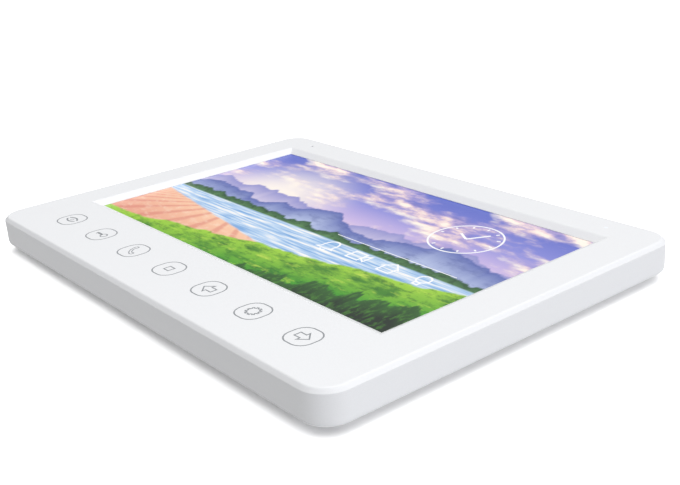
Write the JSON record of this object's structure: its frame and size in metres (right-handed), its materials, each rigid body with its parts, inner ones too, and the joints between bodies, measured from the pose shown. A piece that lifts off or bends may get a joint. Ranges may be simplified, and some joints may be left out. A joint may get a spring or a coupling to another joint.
{
  "type": "video intercom monitor",
  "caption": "Slim white wall-mounted video intercom monitor: wide bevelled screen, a row of touch keys below it, and a hook-on steel wall bracket in the back.",
  "frame": {"origin": "middle of the back, on the wall plane, with the monitor lying on its back", "axes": "+X to the right seen from the front, +Y to the top edge, +Z out of the screen"},
  "size_m": [0.19, 0.136, 0.013],
  "materials": {
    "abs_white": "moulded white ABS, fine satin texture",
    "key_paint": "grey paint in a shallow line",
    "zinc_steel": "zinc plated sheet and screws",
    "lcd_glass": "anti-glare polariser on glass",
    "light_guide": "clear acrylic with white sheets",
    "black_foam": "closed cell foam tape",
    "polyimide": "amber flexible print",
    "flat_cable": "white flat cable",
    "circuit_board": "green solder mask",
    "chip_black": "moulded epoxy package",
    "ferrite": "dark ferrite",
    "tantalum_case": "moulded capacitor case",
    "nylon_natural": "natural nylon",
    "tinned_metal": "tin plated metal",
    "copper": "bare copper",
    "black_rubber": "moulded rubber or black plastic",
    "wire_pvc": "red PVC insulation",
    "lens_clear": "clear acrylic light pipe",
    "cone_paper": "coated paper"
  },
  "bodies": {
    "monitor": {"front_housing": "abs_white", "key_marks": "key_paint", "rear_cover": "abs_white", "housing_screws": "zinc_steel", "lcd_gasket": "black_foam", "lcd_panel": "lcd_glass", "lcd_backlight": "light_guide", "lcd_frame": "zinc_steel", "lcd_flex": "polyimide", "lcd_clips": "zinc_steel", "lcd_clip_screws": "zinc_steel", "main_board": "circuit_board", "board_screws": "zinc_steel", "processor": "chip_black", "memory_chip": "chip_black", "video_chip": "chip_black", "audio_chip": "chip_black", "crystal": "tinned_metal", "power_inductors": "ferrite", "capacitors": "tantalum_case", "lcd_flex_socket": "nylon_natural", "key_cable_socket": "nylon_natural", "door_socket_1": "nylon_natural", "door_socket_2": "nylon_natural", "camera_socket_1": "nylon_natural", "camera_socket_2": "nylon_natural", "power_socket": "nylon_natural", "socket_pins": "tinned_metal", "speaker_socket": "nylon_natural", "microphone_socket": "nylon_natural", "indicator_socket": "nylon_natural", "key_board": "circuit_board", "key_tape": "black_foam", "key_pads": "copper", "touch_chip": "chip_black", "key_board_socket": "nylon_natural", "key_cable": "flat_cable", "speaker_frame": "black_rubber", "speaker_cone": "cone_paper", "speaker_coil": "copper", "speaker_magnet": "ferrite", "speaker_gasket": "black_foam", "speaker_lead": "wire_pvc", "microphone": "tinned_metal", "microphone_boot": "black_rubber", "microphone_lead": "wire_pvc", "indicator_lens": "lens_clear", "indicator_led": "lens_clear", "indicator_board": "circuit_board", "indicator_lead": "wire_pvc"},
    "bracket": {"wall_bracket": "zinc_steel"}
  },
  "joints": [
    {"name": "bracket_slide", "type": "slide", "parent": "monitor", "child": "bracket", "axis": [0, -1, 0], "range_m": [0, 0.0058]}
  ]
}
